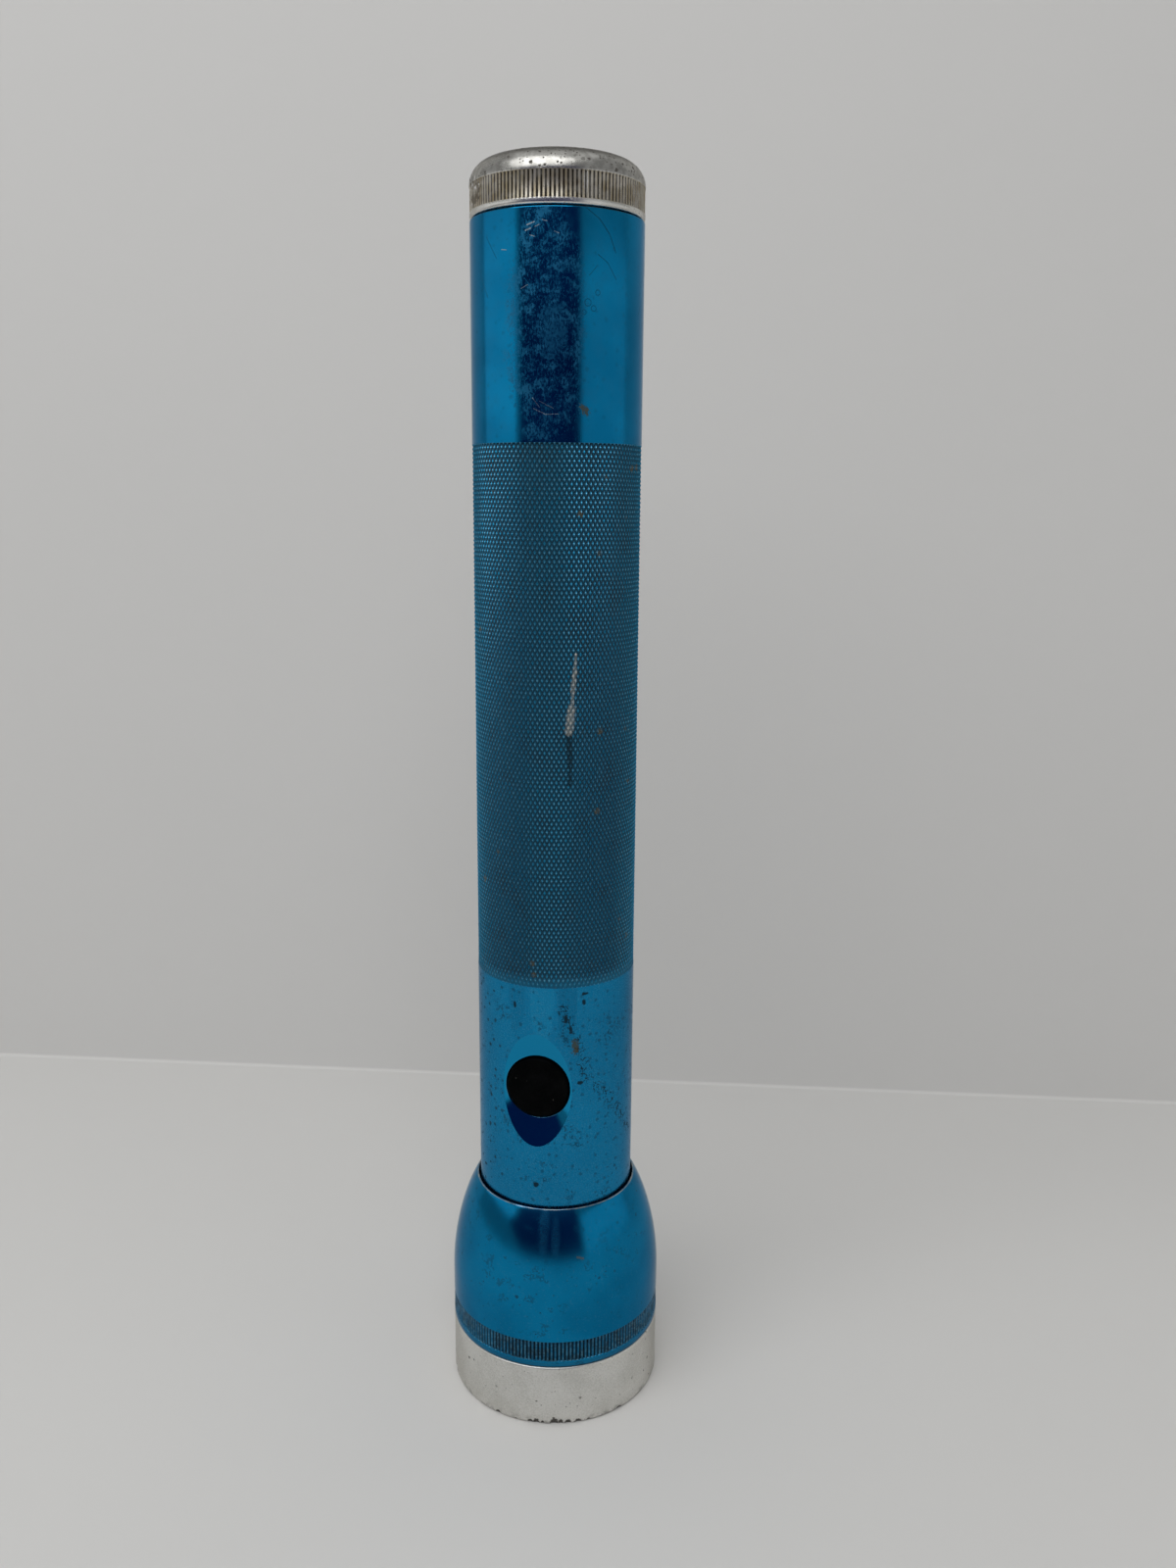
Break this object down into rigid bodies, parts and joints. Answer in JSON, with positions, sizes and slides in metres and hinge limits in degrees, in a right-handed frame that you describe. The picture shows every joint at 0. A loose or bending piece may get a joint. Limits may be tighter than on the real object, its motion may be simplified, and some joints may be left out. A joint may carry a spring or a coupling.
{
  "type": "aluminium flashlight",
  "caption": "Long machined aluminium flashlight with a diamond-knurled barrel, bell-shaped focusing head, screw face and tail caps and a side push button.",
  "frame": {"origin": "centre of the face cap's front rim, on the surface the flashlight stands on", "axes": "+Z along the barrel towards the tail cap, push button facing -Y, +X to the right of someone facing the button"},
  "size_m": [0.0564, 0.0564, 0.3141],
  "materials": {
    "blue_anodised": "worn glossy blue anodising",
    "bare_aluminium": "bare, worn satin with grime in the flutes",
    "clear_lens": "clear, polished",
    "black_rubber": "matt",
    "reflector_plating": "bright metallised",
    "black_plastic": "moulded",
    "grey_plastic": "moulded",
    "spring_steel": "plated wire",
    "contact_brass": "machined",
    "lamp_metal": "nickel plated",
    "emitter": "clear dome over a yellow phosphor",
    "cell_sleeve": "plain dark sleeve"
  },
  "bodies": {
    "barrel": {"barrel": "blue_anodised", "snap_ring": "spring_steel", "switch_housing_upper": "black_plastic", "switch_housing_lower": "black_plastic", "switch_rotor": "contact_brass", "switch_spring": "spring_steel", "ground_screw": "spring_steel", "positive_contact": "contact_brass", "lamp_post_spring": "spring_steel", "battery_cell_1": "cell_sleeve", "battery_cell_2": "cell_sleeve", "battery_cell_3": "cell_sleeve"},
    "button": {"switch_boot": "black_rubber", "switch_plunger": "grey_plastic"},
    "lamp_carrier": {"lamp_post": "black_plastic", "cam_follower": "grey_plastic", "lamp_base": "lamp_metal", "led_emitter": "emitter", "lamp_collar": "black_plastic"},
    "head_seal": {"head_o_ring": "black_rubber"},
    "head": {"head": "blue_anodised", "reflector": "reflector_plating"},
    "lens": {"lens": "clear_lens", "lens_seal": "black_rubber"},
    "face_cap": {"face_cap": "bare_aluminium"},
    "tail_spring": {"tail_spring": "spring_steel"},
    "tail_cap": {"tail_cap": "bare_aluminium", "tail_o_ring": "black_rubber"}
  },
  "joints": [
    {"name": "button_press", "type": "slide", "parent": "barrel", "child": "button", "axis": [0, 1, 0], "range_m": [0, 0.002], "stiffness_N_per_m": 1200, "springref_m": -0.002, "deforming": ["switch_spring"]},
    {"name": "lamp_focus", "type": "slide", "parent": "barrel", "child": "lamp_carrier", "axis": [0, 0, 1], "range_m": [0, 0.003], "deforming": ["lamp_post_spring"]},
    {"name": "head_advance", "type": "slide", "parent": "barrel", "child": "head_seal", "axis": [0, 0, -1], "range_m": [0, 0.0003175]},
    {"name": "head_turn", "type": "hinge", "parent": "head_seal", "child": "head", "pos_m": [0, 0, 0.0465], "axis": [0, 0, -1], "range_deg": [0, 90]},
    {"name": "face_cap_advance", "type": "slide", "parent": "head", "child": "lens", "axis": [0, 0, -1], "range_m": [0, 0.00635]},
    {"name": "face_cap_turn", "type": "hinge", "parent": "lens", "child": "face_cap", "pos_m": [0, 0, 0.0125], "axis": [0, 0, -1], "range_deg": [0, 1800]},
    {"name": "tail_cap_advance", "type": "slide", "parent": "barrel", "child": "tail_spring", "axis": [0, 0, 1], "range_m": [0, 0.008]},
    {"name": "tail_cap_turn", "type": "hinge", "parent": "tail_spring", "child": "tail_cap", "pos_m": [0, 0, 0.2945], "axis": [0, 0, 1], "range_deg": [0, 1440]}
  ],
  "couplings": [
    {"joint": "head_turn", "follows": "head_advance", "rad_per_m": 4947.3},
    {"joint": "lamp_focus", "follows": "head_advance", "ratio": 9.4488},
    {"joint": "face_cap_turn", "follows": "face_cap_advance", "rad_per_m": 4947.3},
    {"joint": "tail_cap_turn", "follows": "tail_cap_advance", "rad_per_m": 3141.5}
  ]
}
